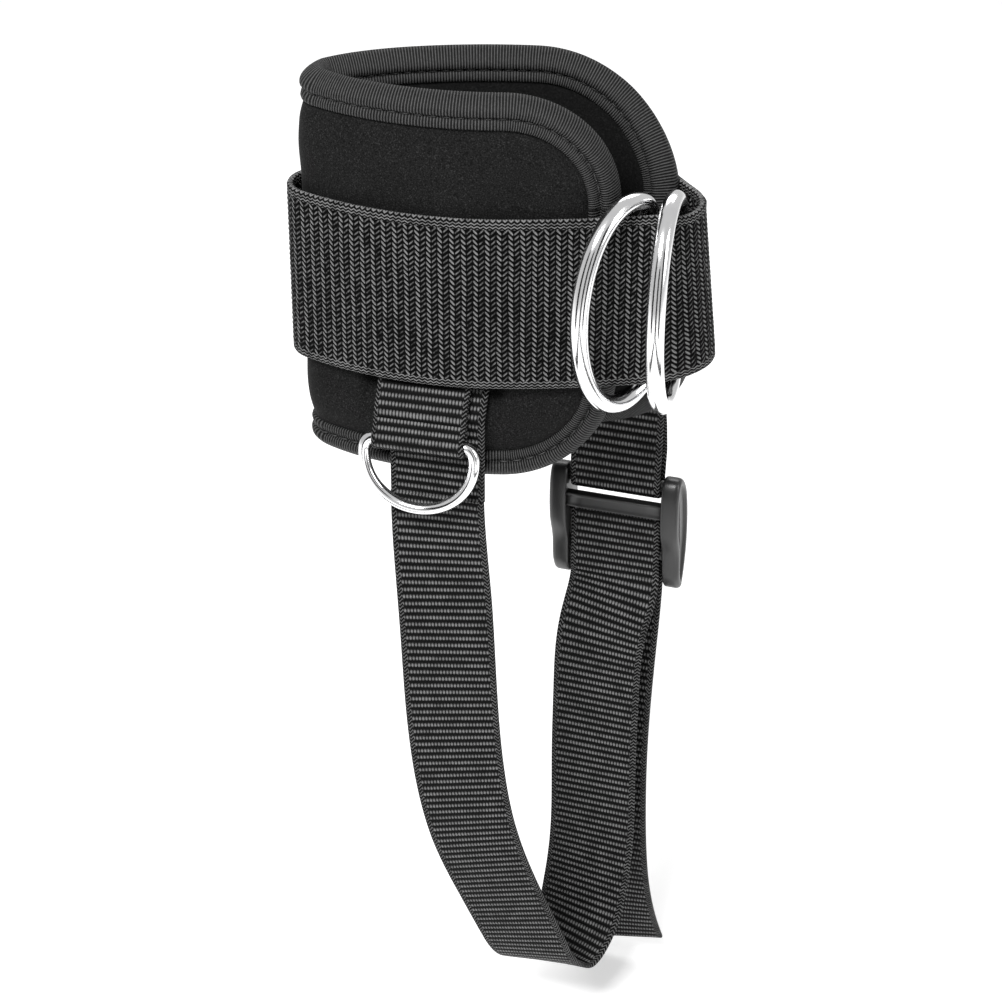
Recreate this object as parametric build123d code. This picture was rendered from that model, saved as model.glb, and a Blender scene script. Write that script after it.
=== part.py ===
from build123d import *
import os
from math import acos, atan2, cos, degrees, radians, sin, sqrt

# Ankle cuff for a cable machine, lengths in millimetres.  +Z is up the leg, -Y is the front, +X the
# wearer's right-hand side of the picture plane.  The origin is the centre of the leg opening.

# ---- driving dimensions ----
FOAM = 5.0                # neoprene core
SKIN = 1.0                # knitted cover each side of the core
PAD = FOAM / 2 + SKIN     # half thickness of the whole pad
PAD_TOP = 57.0            # the pad's edge line, above and below the strap's middle
PAD_BOTTOM = -54.0
FRONT_END = 31.4          # where the front panel stops, along X
BACK_END_TOP = 49.3       # where the back panel stops, along X, high and low
BACK_END_LOW = 50.3
FRONT_CORNER = 30.0
BACK_CORNER_TOP = 36.0
BACK_CORNER_LOW = 24.0
BINDING_HALF = 4.5        # half thickness over the edge tape
BINDING_LIP = 1.2         # tape outside the pad's edge
BINDING_REACH = 7.0       # tape inside the pad's edge

WIDE = 50.0               # wide webbing
WIDE_WEB = 1.8            # its thickness
NARROW = 27.0             # narrow webbing
NARROW_WEB = 1.4
GAP = 0.1                 # air between sewn layers
STAND_OFF = 1.4           # wide strap off the front of the pad, over the sewn ends
TAPE = 0.7                # hook tape and loop tape, each
LEFT_BULGE = 2.2          # how much tighter the strap turns than the pad at the left fold

WIRE = 2.5                # large ring wire radius
RING_HALF = 29.2          # half the large ring's widest centre-line width
RING_DEPTH = 29.0
RING_WAIST = 10.0         # where the ring is widest, out from its bar
RING_CORNER = 4.0
SMALL_WIRE = 1.6
SMALL_HALF = 15.6
SMALL_DEPTH = 20.0
SMALL_WAIST = 4.5
SMALL_CORNER = 2.2
TAB_WIDTH = 26.0
POCKET_PLAY = 0.06        # running clearance of a ring bar in its webbing pocket

# The pad's middle surface seen from above: tangent arcs as (length, turn in degrees), from the front
# panel's end, leftwards along the front, round the fold and back along the rear panel.
PAD_START = (34.0, -14.0)
PAD_HEADING = 188.0
PAD_ARCS = [(33.0, -9.0), (51.0, -34.0), (10.3, -119.0), (24.0, -17.0), (56.0, -25.0), (24.0, -50.0)]
FOLD_ARC = 2              # the fold at the left end


class Run:
    """A plan curve of tangent arcs. Offsets are to the left of travel, which is outside the cuff."""

    def __init__(self, start, heading, arcs):
        self.pieces = []
        x, y = start
        angle = radians(heading)
        begin = 0.0
        for length, turn in arcs:
            bend = radians(turn) / length
            self.pieces.append((begin, length, x, y, angle, bend))
            x, y, angle = self._along(x, y, angle, bend, length)
            begin += length
        self.length = begin

    @staticmethod
    def _along(x, y, angle, bend, travel):
        if abs(bend) < 1e-9:
            return x + travel * cos(angle), y + travel * sin(angle), angle
        after = angle + bend * travel
        return x + (sin(after) - sin(angle)) / bend, y - (cos(after) - cos(angle)) / bend, after

    def place(self, travel, offset=0.0):
        """Point and heading (radians) at a distance along the run."""
        for begin, length, x, y, angle, bend in self.pieces:
            if travel <= begin + length + 1e-9:
                break
        x, y, angle = self._along(x, y, angle, bend, travel - begin)
        return x - offset * sin(angle), y + offset * cos(angle), angle

    def edges(self, offset, first, last):
        joints = [first] + [p[0] for p in self.pieces if first < p[0] < last] + [last]
        edges = []
        for a, b in zip(joints, joints[1:]):
            ends = [Vector(*self.place(t, offset)[:2]) for t in (a, (a + b) / 2, b)]
            straight = (ends[1] - (ends[0] + ends[2]) / 2).length < 1e-5
            edges.append(Line(ends[0], ends[2]) if straight else ThreePointArc(*ends))
        return edges

    def wall(self, inner, outer, low, high, first=0.0, last=None):
        """The upright wall between two offsets of the run."""
        last = self.length if last is None else last
        inside = self.edges(inner, first, last)
        outside = self.edges(outer, first, last)
        caps = [Line(inside[0] @ 0, outside[0] @ 0), Line(inside[-1] @ 1, outside[-1] @ 1)]
        face = Face(Wire(inside + outside + caps))
        return extrude(Pos(0, 0, low) * face, high - low, dir=(0, 0, 1))

    def travel_at_x(self, x, first, last):
        """Distance along the run where it crosses X, between two distances."""
        rising = self.place(last)[0] > self.place(first)[0]
        for _ in range(50):
            middle = (first + last) / 2
            if (self.place(middle)[0] < x) == rising:
                first = middle
            else:
                last = middle
        return (first + last) / 2


def arcs_at(arcs, offset):
    """The same run of arcs, moved outwards."""
    return [(length - offset * radians(turn), turn) for length, turn in arcs]


pad_run = Run(PAD_START, PAD_HEADING, PAD_ARCS)
BACK_SPLIT = -8.0         # Y between the front panel's end and the back panel's end


def panel_outline(end_top, end_low, corner_top, corner_low, grow):
    """Flat outline of one end of the pad in XZ, grown or shrunk all round."""
    shape = make_face(Polyline([(-90, PAD_BOTTOM - grow), (end_low + grow, PAD_BOTTOM - grow),
                                (end_top + grow, PAD_TOP + grow), (-90, PAD_TOP + grow)], close=True))
    right = shape.vertices().group_by(Axis.X)
    corners = sorted([v for group in right[1:] for v in group], key=lambda v: v.Y)
    shape = fillet(corners[0], corner_low + grow)
    top = sorted(shape.vertices(), key=lambda v: (round(v.Y, 3), v.X))[-1]
    return fillet(top, corner_top + grow)


def pad_mask(grow):
    """Everything inside the pad's outline: the front panel's in front, the back panel's behind."""
    front = panel_outline(FRONT_END, FRONT_END, FRONT_CORNER, FRONT_CORNER, grow)
    back = panel_outline(BACK_END_TOP, BACK_END_LOW, BACK_CORNER_TOP, BACK_CORNER_LOW, grow)
    plane = Plane(origin=(0, BACK_SPLIT, 0), x_dir=(1, 0, 0), z_dir=(0, -1, 0))
    return extrude(plane * front, 60) + extrude(plane * back, -60)


def pad_wall(inner, outer, mask):
    return pad_run.wall(inner, outer, PAD_BOTTOM - 5, PAD_TOP + 5) & mask


def save(name, shape):
    os.makedirs("parts", exist_ok=True)
    shape.label = name
    export_step(shape, f"parts/{name}.step")


# ---- pad: foam core, outer cover, lining ----
TAB_TRAVEL = pad_run.travel_at_x(-19.0, 20, 80)
SINK = 4.2                # how far the sewn webbing ends press into the pad
SINK_TOP = -10.0
SINK_LOW = -34.5
SINK_HALF = 19.0


def local_plane(travel, offset=0.0, outward=True):
    """Plane on the pad: local X along the webbing's width to the right, Y up, Z outwards."""
    x, y, heading = pad_run.place(travel, offset)
    normal = (-sin(heading), cos(heading), 0)
    width = (-normal[1], normal[0], 0)
    return Plane(origin=(x, y, 0), x_dir=width, z_dir=normal)


def sunk_pocket():
    """The hollow that the sewn webbing ends press into the pad, hidden by the wide strap."""
    plane = local_plane(TAB_TRAVEL, PAD)
    box = Box(2 * SINK_HALF, SINK_TOP - SINK_LOW, 2 * SINK)
    return plane * Pos(0, (SINK_TOP + SINK_LOW) / 2, 0) * box


def make_pad():
    mask = pad_mask(0)
    pocket = sunk_pocket()
    foam = pad_wall(-FOAM / 2, FOAM / 2, mask) - pocket
    cover = pad_wall(FOAM / 2, PAD, mask) - pocket
    lining = pad_wall(-PAD, -FOAM / 2, mask)
    save("pad_foam", foam)
    save("pad_outer_fabric", cover)
    save("pad_lining", lining)


def make_binding():
    channel = pad_mask(BINDING_LIP) - pad_mask(-BINDING_REACH)
    tape = pad_wall(-BINDING_HALF, BINDING_HALF, channel)
    save("edge_binding", tape - pad_wall(-PAD, PAD, pad_mask(0)))


# ---- wide strap: base run on the back, round the left fold, along the front, through both rings,
# round the right end and back over itself, held by hook tape and loop tape ----
BASE = PAD + GAP + WIDE_WEB / 2
FRONT = PAD + STAND_OFF + WIDE_WEB / 2
TAIL = BASE + WIDE_WEB + 2 * TAPE + 3 * GAP
BASE_END_X = 20.0
TAIL_END_X = -26.0
TAPE_FROM_X = -22.0
TAPE_TO_X = 17.0


def strap_arcs():
    """The front run, the left fold and the base run, worked out from the pad's arcs."""
    front = arcs_at(PAD_ARCS[:FOLD_ARC], FRONT)
    fold_length, turn = arcs_at([PAD_ARCS[FOLD_ARC]], FRONT)[0]
    spare = LEFT_BULGE * tan_half(turn)
    step = (FRONT - BASE) / sin(radians(-turn))
    tight = fold_length - LEFT_BULGE * radians(-turn)
    back = arcs_at(PAD_ARCS[FOLD_ARC + 1:], BASE)
    return front + [(spare - step, 0), (tight, turn), (spare + step * cos(radians(turn)), 0)] + back


def tan_half(turn):
    half = radians(abs(turn)) / 2
    return sin(half) / cos(half)


strap_run = Run(pad_run.place(0, FRONT)[:2], PAD_HEADING, strap_arcs())
PAD_END = pad_run.place(pad_run.length)


def wrap_run():
    """From the front's right end round the panel's end and back along the rear, over the base run."""
    x, y, heading = pad_run.place(0, FRONT)
    ahead = Vector(-cos(heading), -sin(heading))
    inwards = Vector(sin(heading), -cos(heading))
    out = Vector(-sin(PAD_END[2]), cos(PAD_END[2]))
    reach = Vector(PAD_END[0] - x, PAD_END[1] - y)
    back_off = (reach.dot(inwards) - TAIL) / (1 + out.dot(inwards))
    radius = TAIL + back_off
    straight = (reach - out * back_off).dot(ahead)
    turn = 180 + degrees(PAD_END[2]) - (PAD_HEADING - 180)
    rear = [(length, -turned) for length, turned in reversed(arcs_at(PAD_ARCS[FOLD_ARC + 1:], TAIL))]
    return Run((x, y), PAD_HEADING - 180, [(straight, 0), (radius * radians(turn), turn)] + rear)


def back_travel(run, x):
    return run.travel_at_x(x, run.length * 0.55, run.length)


def make_wide_strap():
    wrap = wrap_run()
    end = wrap.travel_at_x(TAIL_END_X, wrap.length * 0.5, wrap.length)
    base_end = back_travel(strap_run, BASE_END_X)
    low, high = -WIDE / 2, WIDE / 2
    half = WIDE_WEB / 2
    strap = strap_run.wall(-half, half, low, high, 0, base_end) + wrap.wall(-half, half, low, high, 0, end)
    save("wide_strap", strap)
    first, last = back_travel(pad_run, TAPE_FROM_X), back_travel(pad_run, TAPE_TO_X)
    start = BASE + WIDE_WEB / 2 + GAP
    save("strap_loop_tape", pad_run.wall(start, start + TAPE, low + 2, high - 2, first, last))
    start = start + TAPE + GAP
    save("strap_hook_tape", pad_run.wall(start, start + TAPE, low + 2, high - 2, first, last))


# ---- large rings and the webbing keeper that holds their bars ----
BARS = {"front": (40.8, -13.75), "end": (48.0, -11.0)}
RING_HEADING = {"front": 228.0, "end": 256.0}
KEEPER_HALF = 22.5
KEEPER_SKIN = 1.4
TONGUE_TRAVEL = 26.0      # how much of the keeper lies on the back panel
TONGUE_BEND = (10.0, -94.0)


def d_ring(half, depth, waist, corner, wire):
    """A ring with its straight bar on local Y: an ellipse cut off by the bar, bowed towards local +X."""
    long = depth - waist
    reach = 180 - degrees(acos(waist / long))
    bow = EllipticalCenterArc((waist, 0), long, half, start_angle=-reach, arc_size=2 * reach)
    outline = Wire([bow, Line(bow @ 1, bow @ 0)])
    outline = outline.fillet_2d(corner, [v for v in outline.vertices() if abs(v.X) < 1e-3])
    start = outline @ 0
    return sweep(Plane(origin=start, z_dir=outline % 0) * Circle(wire), path=outline)


def make_large_rings():
    for name, (x, y) in BARS.items():
        heading = radians(RING_HEADING[name])
        plane = Plane(origin=(x, y, 0), x_dir=(cos(heading), sin(heading), 0),
                      z_dir=(sin(heading), -cos(heading), 0))
        save(f"large_ring_{name}", plane * d_ring(RING_HALF, RING_DEPTH, RING_WAIST, RING_CORNER, WIRE))


def make_keeper():
    outer = WIRE + POCKET_PLAY + KEEPER_SKIN
    ends = [Pos(*BARS[n]) * Circle(outer) for n in ("front", "end")]
    pockets = [Pos(*BARS[n]) * Circle(WIRE + POCKET_PLAY) for n in ("front", "end")]
    face = make_hull(ends[0].edges() + ends[1].edges()) - pockets[0] - pockets[1]
    block = extrude(Pos(0, 0, -KEEPER_HALF) * face, 2 * KEEPER_HALF, dir=(0, 0, 1))
    offset = BINDING_HALF + GAP + KEEPER_SKIN / 2
    start = pad_run.place(pad_run.length, offset)
    half = KEEPER_SKIN / 2
    sewn = pad_run.wall(offset - half, offset + half, -KEEPER_HALF, KEEPER_HALF,
                        pad_run.length - TONGUE_TRAVEL, pad_run.length)
    bend = Run(start[:2], degrees(start[2]), [TONGUE_BEND])
    tongue = bend.wall(-half, half, -KEEPER_HALF, KEEPER_HALF)
    save("ring_keeper", sewn + tongue + block)


# ---- small ring, its folded tab, and the foot strap's sewn end, on the front of the cuff ----
# Layers are (distance out from the pad's middle surface, height).
LAYER = NARROW_WEB + GAP
SEWN_TOP = -12.0
SUNK = PAD - SINK + GAP / 2 + NARROW_WEB / 2        # innermost sewn layer
OVER_PAD = BINDING_HALF + GAP + NARROW_WEB / 2      # innermost layer where it lies on the edge tape
STEP_TOP = -26.9          # the layers come out from under the wide strap here
STEP_LOW = -34.9
RING_LEAN = 6.0           # how far the small ring hangs out from the upright, degrees
SMALL_BAR_Z = -41.5
TAB_WRAP = SMALL_WIRE + POCKET_PLAY + NARROW_WEB / 2
FOOT_SHIFT = 4.0          # the foot strap shows this far to the right of the tab
FOOT_TOP_END = -60.0
EASE = 0.4                # each layer further out bends this much higher


def path_on(plane, points, radius):
    """Centre line from (out, up) points on a plane, with rounded corners."""
    return FilletPolyline(*[plane.from_local_coords((0, up, out)) for out, up in points], radius=radius)


def webbing(plane, points, radius, width=NARROW, thickness=NARROW_WEB):
    path = path_on(plane, points, radius)
    section = Plane(origin=path @ 0, x_dir=plane.x_dir, z_dir=path % 0) * Rectangle(width, thickness)
    return sweep(section, path=path)


tab_plane = local_plane(TAB_TRAVEL)
foot_plane = Plane(tab_plane * Pos(FOOT_SHIFT, 0, 0))


def make_tab_and_small_ring():
    rear_in, front_in = SUNK + LAYER, SUNK + 2 * LAYER
    rear_out, front_out = OVER_PAD + LAYER, OVER_PAD + 2 * LAYER
    far = rear_out + 2 * TAB_WRAP
    turn_low = SMALL_BAR_Z - TAB_WRAP
    points = [(rear_in, SEWN_TOP), (rear_in, STEP_TOP + EASE), (rear_out, STEP_LOW + EASE),
              (rear_out, turn_low), (far, turn_low), (far, SMALL_BAR_Z + 1.0),
              (front_out, STEP_LOW - 0.6), (front_out, STEP_LOW + 2 * EASE + 0.2),
              (front_in, STEP_TOP + 2 * EASE + 0.2), (front_in, SEWN_TOP)]
    radii = [2.0, 2.0, TAB_WRAP - 0.01, TAB_WRAP - 0.01, 1.0, 1.0, 1.2, 2.0]
    save("ring_tab", webbing(tab_plane, points, radii, TAB_WIDTH))
    bar_out = rear_out + TAB_WRAP
    hang = radians(RING_LEAN)
    origin = tab_plane.from_local_coords((0, SMALL_BAR_Z, bar_out))
    down = Vector(0, 0, -1) * cos(hang) + tab_plane.z_dir * sin(hang)
    plane = Plane(origin=origin, x_dir=down, z_dir=down.cross(tab_plane.x_dir))
    save("small_ring", plane * d_ring(SMALL_HALF, SMALL_DEPTH, SMALL_WAIST, SMALL_CORNER, SMALL_WIRE))


# ---- buckle and the webbing loop that hangs it from the back of the pad ----
LOOP_X = 33.0
LOOP_TOP = -28.0
ANCHOR = (6.5, -77.0)     # (out, height) of each bar's middle
GRIP = (8.3, -88.2)
LIP = (8.3, -101.0)
BAR = 2.0
LIP_BAR = 1.8
FACE_BAR = (3.0, -83.3)
FACE_SIZE = (2.8, 4.6)
CHEEK_IN = NARROW / 2 + 0.7
CHEEK = 5.2
LOOP_WRAP = BAR + POCKET_PLAY + NARROW_WEB / 2

buckle_plane = local_plane(pad_run.travel_at_x(LOOP_X, pad_run.length * 0.55, pad_run.length))


def side_profile():
    """Plane whose local X is outwards and Y is up, across the buckle's middle."""
    return Plane(origin=buckle_plane.origin, x_dir=buckle_plane.z_dir, z_dir=-buckle_plane.x_dir)


def make_buckle_loop():
    inner, outer = OVER_PAD, OVER_PAD + LAYER
    near, far = ANCHOR[0] - LOOP_WRAP, ANCHOR[0] + LOOP_WRAP
    low = ANCHOR[1] - LOOP_WRAP
    points = [(inner, LOOP_TOP), (inner, -58), (near, -70), (near, low), (far, low), (far, -75),
              (far + 1.6, -67), (far + 0.4, -58), (outer, -48), (outer, LOOP_TOP)]
    radii = [6.0, 3.0, LOOP_WRAP - 0.01, LOOP_WRAP - 0.01, 2.0, 4.0, 4.0, 4.0]
    save("buckle_loop", webbing(buckle_plane, points, radii))


def cheek_face():
    points = [(1.4, -79), (1.6, -90), (4.6, -99), (5.8, -108), (10.0, -112.5), (14.4, -104),
              (15.6, -93), (13.6, -81), (9.0, -74.5), (4.0, -73.5)]
    return make_face(Spline(*points, periodic=True))


def make_buckle():
    plane = side_profile()
    across = 2 * (CHEEK_IN + 1)
    pieces = []
    for middle, radius in ((ANCHOR, BAR), (GRIP, BAR), (LIP, LIP_BAR)):
        pieces.append(extrude(plane * Pos(*middle) * Circle(radius), across / 2, both=True))
    face_bar = plane * Pos(*FACE_BAR) * RectangleRounded(*FACE_SIZE, 1.0)
    pieces.append(extrude(face_bar, across / 2, both=True))
    cheek = extrude(plane * cheek_face(), CHEEK)
    for side in (CHEEK_IN, -CHEEK_IN - CHEEK):
        pieces.append(Pos(*(plane.z_dir * side)) * cheek)
    buckle = pieces[0]
    for piece in pieces[1:]:
        buckle += piece
    save("buckle", buckle)


# ---- foot strap: one webbing, kept as several nodes so that the loop can be shortened ----
LEG_OUT = GRIP[0] - LOOP_WRAP
TAIL_OUT = GRIP[0] + LOOP_WRAP
BUCKLE_LOW = -107.0
FOOT_GAP = 1.2            # air between the buckle's piece and the leg, for the buckle's tilt
STEPS_PER_SPAN = 3


def buckle_point(out, up):
    point = buckle_plane.from_local_coords((0, up, out))
    return (point.X, point.Y, point.Z)


# Routes as stations: position, then the width's turn about Z and its rise, both in degrees.
# The loop runs from below the small ring, under the foot and up to the buckle.
LOOP_ROUTE = [((-16.6, -19.7, FOOT_TOP_END), -15.7, 0), ((-14.9, -19.9, -95), -6, 0),
              ((-13.3, -19.6, -130), -4, 0), ((-11.3, -18.6, -155), -6, 2),
              ((-7.0, -16.5, -180), -10, 6), ((0.6, -12.5, -205), -16, 12),
              ((8.2, -8.0, -227), -18, 13), ((13.2, -3.0, -239.0), -22, 10),
              ((18.7, 4.0, -243.2), -26, 7), ((23.7, 10.0, -238.0), -24, 5),
              ((27.0, 13.0, -226.0), -20, 2), ((29.2, 13.5, -205.0), -19, 0),
              ((29.4, 13.4, -175.0), -19, 0), ((29.7, 13.6, -150.0), -19, 0),
              ((31.6, 14.8, -125.0), -19, 0), (buckle_point(LEG_OUT, BUCKLE_LOW - FOOT_GAP), -18, 0)]
TAIL_ROUTE = [(buckle_point(TAIL_OUT, BUCKLE_LOW - GAP), -18, 0), ((35.0, 20.4, -135), -19, 0),
              ((33.4, 20.0, -170), -19, 0), ((33.6, 20.6, -200), -19, 0),
              ((35.6, 24.0, -230), -17, 2), ((41.0, 31.0, -258), -14, 4)]
DOWN = (0, 0, -1)
UP = (0, 0, 1)
TAIL_KICK = (0.25, 0.3, -0.92)
LOOP_ENDS = (DOWN, UP)
TAIL_ENDS = (DOWN, TAIL_KICK)
# Which stations each node of the loop and the tail runs between.
LOOP_NODES = {"front_leg": (0, 3), "sole": (3, 11), "back_leg": (11, 13), "back_top": (13, 15)}
TAIL_NODES = {"tail_run": (0, 2), "tail_end": (2, 5)}


def ribbon(route, ends, first, last):
    """The flat strap between two stations of a route, its width turning from one to the next."""
    path = Spline(*[station[0] for station in route], tangents=ends)
    stops = [path.param_at_point(Vector(*station[0])) for station in route]
    sections = []
    for k in range(first, last):
        steps = STEPS_PER_SPAN + (k == last - 1)
        for i in range(steps):
            mix = i / STEPS_PER_SPAN
            t = stops[k] * (1 - mix) + stops[k + 1] * mix
            turn = radians(route[k][1] * (1 - mix) + route[k + 1][1] * mix)
            rise = radians(route[k][2] * (1 - mix) + route[k + 1][2] * mix)
            width = Vector(cos(turn) * cos(rise), sin(turn) * cos(rise), sin(rise))
            along = path % t
            across = (width - along * width.dot(along)).normalized()
            sections.append(Plane(origin=path @ t, x_dir=across, z_dir=along) * Rectangle(NARROW, NARROW_WEB))
    return loft(sections, ruled=True)


def make_foot_strap():
    top = webbing(foot_plane, [(SUNK, SEWN_TOP), (SUNK, STEP_TOP), (OVER_PAD, STEP_LOW),
                               (OVER_PAD, FOOT_TOP_END + GAP)], 2.0)
    save("foot_strap_front_top", top)
    turn_top = GRIP[1] + LOOP_WRAP
    save("foot_strap_buckle_turn", webbing(buckle_plane, [(LEG_OUT, BUCKLE_LOW), (LEG_OUT, turn_top),
                                           (TAIL_OUT, turn_top), (TAIL_OUT, BUCKLE_LOW)], LOOP_WRAP - 0.01))
    for route, ends, nodes in ((LOOP_ROUTE, LOOP_ENDS, LOOP_NODES), (TAIL_ROUTE, TAIL_ENDS, TAIL_NODES)):
        for name, (first, last) in nodes.items():
            save(f"foot_strap_{name}", ribbon(route, ends, first, last))


# ---- stitches: each node is a group of short thread lengths just proud of what they sew ----
THREAD = 0.5
STITCH = 2.4
STITCH_PITCH = 4.2
STITCH_LIFT = 0.12        # air under a stitch, so that a straight one clears a curved face
LINE_INSET = 5.6          # the tape's seam, inside the pad's edge line
FOLD_CLEAR = 14.0         # no inner stitches this close to the fold
STRAP_SEAM_STEP = 12.0


def stitch_at(travel, z, offset, tilt=0.0):
    """One stitch on the pad, along the pad's travel and tilted up by an angle in degrees."""
    x, y, heading = pad_run.place(travel, offset)
    plane = Plane(origin=(x, y, z), x_dir=(cos(heading), sin(heading), 0), z_dir=(-sin(heading), cos(heading), 0))
    return plane * Rot(0, 0, tilt) * Box(STITCH, THREAD, THREAD)


def seam_height(x, end, corner, edge):
    """Height of the seam line below the pad's edge at X, following the rounded corner."""
    radius = corner - LINE_INSET
    centre = end - corner
    drop = 0.0 if x < centre else radius - sqrt(max(0.0, radius ** 2 - (x - centre) ** 2))
    return abs(edge) - LINE_INSET - drop


def under_webbing(travel):
    """Whether the foot strap or the buckle's loop lies over the pad's bottom edge here."""
    loop_travel = pad_run.travel_at_x(LOOP_X, pad_run.length * 0.55, pad_run.length)
    reach = NARROW / 2 + STITCH
    return min(abs(travel - (TAB_TRAVEL - FOOT_SHIFT)), abs(travel - loop_travel)) < reach


def binding_seam(offset, skip_fold):
    """Stitches along the top and bottom of both panels, as far as each corner's steep part."""
    stitches = []
    fold = pad_run.pieces[FOLD_ARC][0] + PAD_ARCS[FOLD_ARC][0] / 2
    travel = STITCH_PITCH
    while travel < pad_run.length - STITCH_PITCH:
        x = pad_run.place(travel)[0]
        front = travel < fold
        for edge in (PAD_TOP, PAD_BOTTOM):
            end = FRONT_END if front else (BACK_END_TOP if edge > 0 else BACK_END_LOW)
            corner = FRONT_CORNER if front else (BACK_CORNER_TOP if edge > 0 else BACK_CORNER_LOW)
            near = x > end - LINE_INSET - 2.5
            folded = skip_fold and abs(travel - fold) < FOLD_CLEAR
            covered = edge < 0 and offset > 0 and under_webbing(travel)
            if not near and not folded and not covered:
                step = 0.5
                rise = seam_height(x + step, end, corner, edge) - seam_height(x - step, end, corner, edge)
                slope = degrees(atan2(rise, 2 * step)) * (1 if edge > 0 else -1) * (-1 if front else 1)
                z = seam_height(x, end, corner, edge) * (1 if edge > 0 else -1)
                stitches.append(stitch_at(travel, z, offset, slope))
        travel += STITCH_PITCH
    return Compound(children=stitches)


def cross_box(plane, out, middle_up, wide, tall, pitch=2.6):
    """A sewn box with a zigzag across it, on a flat webbing face at a distance out from a plane."""
    stitches = []
    count = int(wide / pitch)
    for i in range(count + 1):
        x = -wide / 2 + i * wide / count
        for up in (-tall / 2, tall / 2):
            stitches.append(plane * Pos(x, middle_up + up, out) * Box(STITCH * 0.7, THREAD, THREAD))
    rows = int(tall / pitch)
    for i in range(1, rows):
        up = -tall / 2 + i * tall / rows
        for x in (-wide / 2, wide / 2):
            stitches.append(plane * Pos(x, middle_up + up, out) * Box(THREAD, STITCH * 0.7, THREAD))
    return Compound(children=stitches)


def make_stitches():
    proud = BINDING_HALF + STITCH_LIFT + THREAD / 2
    save("binding_stitches_outer", binding_seam(proud, False))
    save("binding_stitches_inner", binding_seam(-proud, True))
    seam = []
    outside = BASE + WIDE_WEB / 2 + STITCH_LIFT + THREAD / 2
    for x in (19.0, -30.0):
        travel = back_travel(pad_run, x)
        for i in range(-8, 9):
            seam.append(stitch_at(travel, i * 2.8, outside, 90))
    save("strap_stitches", Compound(children=seam))
    out = SUNK + 2 * LAYER + NARROW_WEB / 2 + STITCH_LIFT + THREAD / 2
    tail_out = OVER_PAD + LAYER + NARROW_WEB / 2 + STITCH_LIFT + THREAD / 2
    save("buckle_loop_bartack", cross_box(buckle_plane, tail_out, -37.5, 22.0, 15.0))
    save("tab_bartack", cross_box(tab_plane, out, -18.5, 15.0, 9.0))
    keeper_out = BINDING_HALF + GAP + KEEPER_SKIN + STITCH_LIFT + THREAD / 2
    rows = []
    for back in (3.0, TONGUE_TRAVEL - 3.0):
        for i in range(-7, 8):
            rows.append(stitch_at(pad_run.length - back, i * 2.8, keeper_out, 90))
    save("keeper_stitches", Compound(children=rows))


make_pad()
make_binding()
make_wide_strap()
make_large_rings()
make_keeper()
make_tab_and_small_ring()
make_buckle_loop()
make_buckle()
make_foot_strap()
make_stitches()
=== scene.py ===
"""Looks of a padded ankle cuff: neoprene pad, woven straps, chrome rings and a ladder buckle."""
from math import cos, degrees, radians, sin, tan

import bpy
import numpy as np
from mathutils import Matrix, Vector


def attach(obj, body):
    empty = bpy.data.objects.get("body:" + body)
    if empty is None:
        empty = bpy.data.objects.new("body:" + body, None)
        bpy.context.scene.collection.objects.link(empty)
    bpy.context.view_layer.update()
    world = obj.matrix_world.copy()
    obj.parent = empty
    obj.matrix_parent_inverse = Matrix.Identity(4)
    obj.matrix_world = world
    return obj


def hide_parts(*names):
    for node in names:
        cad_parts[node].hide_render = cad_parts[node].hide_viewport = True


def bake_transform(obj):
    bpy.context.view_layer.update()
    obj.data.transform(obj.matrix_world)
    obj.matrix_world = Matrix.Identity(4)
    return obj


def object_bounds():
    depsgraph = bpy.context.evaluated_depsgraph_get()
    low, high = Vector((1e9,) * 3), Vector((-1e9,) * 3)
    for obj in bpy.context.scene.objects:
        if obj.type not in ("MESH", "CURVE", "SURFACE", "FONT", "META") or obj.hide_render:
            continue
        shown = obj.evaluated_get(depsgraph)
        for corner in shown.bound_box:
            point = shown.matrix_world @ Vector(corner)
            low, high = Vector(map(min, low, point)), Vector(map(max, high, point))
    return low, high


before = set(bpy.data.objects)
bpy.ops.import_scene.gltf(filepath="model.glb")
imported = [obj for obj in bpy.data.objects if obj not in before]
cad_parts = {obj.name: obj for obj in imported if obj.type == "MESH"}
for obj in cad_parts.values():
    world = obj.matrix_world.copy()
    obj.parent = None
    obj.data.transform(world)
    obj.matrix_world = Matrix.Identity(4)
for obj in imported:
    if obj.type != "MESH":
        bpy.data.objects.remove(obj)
cad_box = [list(corner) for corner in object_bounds()]

MM = 0.001
UP = np.array([0.0, 0.0, 1.0])

# ---- driving sizes in millimetres, the same as the CAD model's ----
FOAM = 5.0
SKIN = 1.0
PAD = FOAM / 2 + SKIN
PAD_TOP = 57.0
PAD_BOTTOM = -54.0
FRONT_END = 31.4
BACK_END_TOP = 47.0       # a little inside the CAD ends, because the edge tape turns outwards here
BACK_END_LOW = 50.2
FRONT_CORNER = 30.0
BACK_CORNER_TOP = 36.0
BACK_CORNER_LOW = 26.0
BINDING_HALF = 4.5
BINDING_LIP = 1.2
WIDE = 50.0
WIDE_WEB = 1.8
NARROW = 27.0
NARROW_WEB = 1.4
GAP = 0.1
STAND_OFF = 1.4
TAPE = 0.7
LEFT_BULGE = 2.2
WIRE = 2.5
RING_HALF = 29.2
RING_DEPTH = 29.0
RING_WAIST = 10.0
RING_CORNER = 4.0
SMALL_WIRE = 1.6
SMALL_HALF = 15.6
SMALL_DEPTH = 20.0
SMALL_WAIST = 4.5
SMALL_CORNER = 2.2
TAB_WIDTH = 26.0
LOOP_X = 33.0
POCKET_PLAY = 0.06
PAD_START = (34.0, -14.0)
PAD_HEADING = 188.0
PAD_ARCS = [(33.0, -9.0), (51.0, -34.0), (10.3, -119.0), (24.0, -17.0), (56.0, -25.0), (24.0, -50.0)]
FOLD_ARC = 2
LAYER = NARROW_WEB + GAP
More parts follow.
